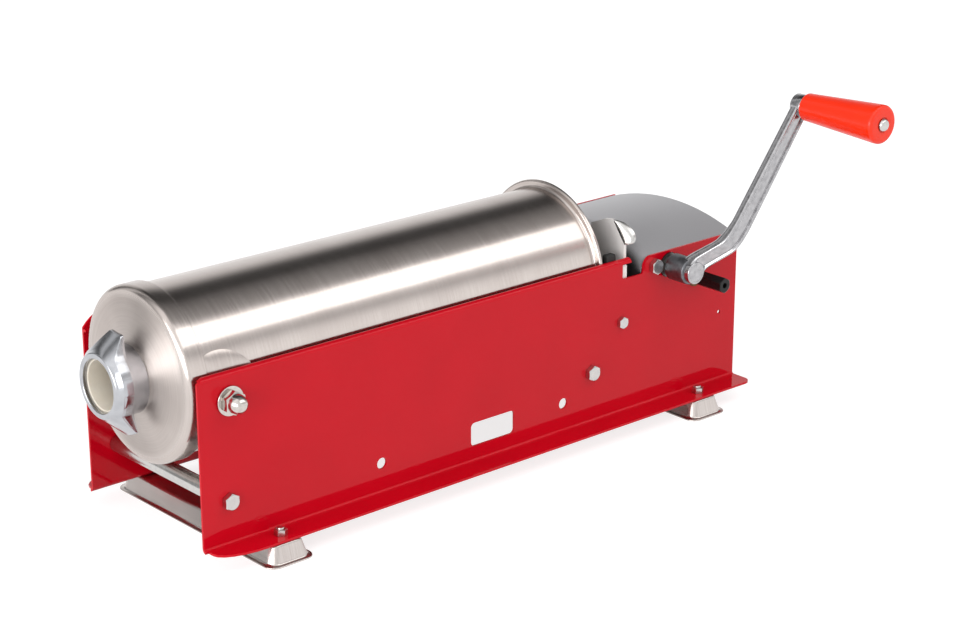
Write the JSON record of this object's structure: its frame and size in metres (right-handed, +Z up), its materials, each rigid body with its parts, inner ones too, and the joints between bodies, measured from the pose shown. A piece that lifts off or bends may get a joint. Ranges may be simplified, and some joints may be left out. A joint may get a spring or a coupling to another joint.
{
  "type": "horizontal sausage stuffer",
  "caption": "Horizontal hand-cranked sausage stuffer: steel cylinder between folded red side panels, with rack-driven piston, gear hood, winged outlet nut and bent crank.",
  "frame": {"origin": "under the middle of the machine's box, on the plane the two feet stand on", "axes": "+X runs from the outlet end to the crank end, +Y from the crank side to the far side, +Z up"},
  "size_m": [0.6852, 0.3518, 0.3079],
  "materials": {
    "red_enamel": "gloss red enamel on steel sheet",
    "brushed_stainless": "stainless steel, brushed round the cylinder",
    "bright_zinc": "bright zinc plate",
    "chrome": "chrome plate",
    "cast_crank": "bright polished casting",
    "blackened_steel": "blackened steel",
    "gear_steel": "machined steel, lightly greased",
    "grey_enamel": "satin grey enamel on steel sheet",
    "ivory_plastic": "ivory food-grade plastic",
    "black_rubber": "black rubber",
    "orange_grip": "semi-gloss orange-red plastic",
    "bronze": "plain bearing bronze"
  },
  "bodies": {
    "frame": {"buffer_far": "black_rubber", "buffer_near": "black_rubber", "cradle_plate": "brushed_stainless", "cylinder_tube": "brushed_stainless", "dome_nut_far": "chrome", "dome_nut_near": "chrome", "fast_bush_far": "bronze", "fast_bush_near": "bronze", "foot_front": "brushed_stainless", "foot_nut_front_far": "bright_zinc", "foot_nut_front_near": "bright_zinc", "foot_nut_rear_far": "bright_zinc", "foot_nut_rear_near": "bright_zinc", "foot_rear": "brushed_stainless", "foot_screw_front_far": "bright_zinc", "foot_screw_front_near": "bright_zinc", "foot_screw_rear_far": "bright_zinc", "foot_screw_rear_near": "bright_zinc", "front_cap": "brushed_stainless", "front_rod_bolt_far": "bright_zinc", "front_rod_bolt_near": "bright_zinc", "gear_hood": "grey_enamel", "guide_screw_far": "bright_zinc", "guide_screw_near": "bright_zinc", "hood_bolt_far": "bright_zinc", "hood_bolt_near": "bright_zinc", "outlet_liner": "ivory_plastic", "pivot_pad_far": "brushed_stainless", "pivot_pad_near": "brushed_stainless", "pivot_stud_far": "brushed_stainless", "pivot_stud_near": "brushed_stainless", "pivot_washer_far": "chrome", "pivot_washer_near": "chrome", "plate_bolt_far": "bright_zinc", "plate_bolt_near": "bright_zinc", "rack_guide": "gear_steel", "rear_rod_bolt_far": "bright_zinc", "rear_rod_bolt_near": "bright_zinc", "side_panel_far": "red_enamel", "side_panel_near": "red_enamel", "slow_bearing": "gear_steel", "tie_rod_front": "bright_zinc", "tie_rod_rear": "bright_zinc"},
    "piston_assembly": {"piston": "ivory_plastic", "piston_seal": "black_rubber", "piston_backing": "brushed_stainless", "piston_bolt": "bright_zinc", "rack": "gear_steel"},
    "fast_train": {"fast_shaft": "blackened_steel", "rack_pinion": "gear_steel", "large_gear": "gear_steel", "fast_retaining_ring": "blackened_steel"},
    "slow_train": {"slow_shaft": "gear_steel", "slow_pinion": "gear_steel", "slow_retaining_ring": "blackened_steel"},
    "crank": {"crank_arm": "cast_crank", "grip_pin": "bright_zinc"},
    "crank_grip": {"grip": "orange_grip"},
    "outlet_nut": {"ring_nut": "chrome"}
  },
  "joints": [
    {"name": "slow_shaft_spin", "type": "hinge", "parent": "frame", "child": "slow_train", "pos_m": [0.21688, -0.0206, 0.1485], "axis": [0, 1, 0], "range_deg": [-4786.1, 0]},
    {"name": "fast_shaft_spin", "type": "hinge", "parent": "frame", "child": "fast_train", "pos_m": [0.25213, -0.0206, 0.1296], "axis": [0, 1, 0], "range_deg": [0, 2051.2]},
    {"name": "piston_slide", "type": "slide", "parent": "frame", "child": "piston_assembly", "axis": [1, 0, 0], "range_m": [0, 0.4475]},
    {"name": "crank_pull", "type": "slide", "parent": "slow_train", "child": "crank", "axis": [0, -1, 0], "range_m": [0, 0.036]},
    {"name": "grip_spin", "type": "hinge", "parent": "crank", "child": "crank_grip", "pos_m": [0.32529, -0.0841, 0.2903], "axis": [0, 1, 0], "continuous": true},
    {"name": "ring_nut_turn", "type": "hinge", "parent": "frame", "child": "outlet_nut", "pos_m": [-0.34263, 0.0619, 0.1465], "axis": [-1, 0, 0], "range_deg": [0, 360]}
  ],
  "couplings": [
    {"joint": "fast_shaft_spin", "follows": "slow_shaft_spin", "ratio": -0.42857},
    {"joint": "piston_slide", "follows": "slow_shaft_spin", "m_per_rad": -0.0053571}
  ]
}
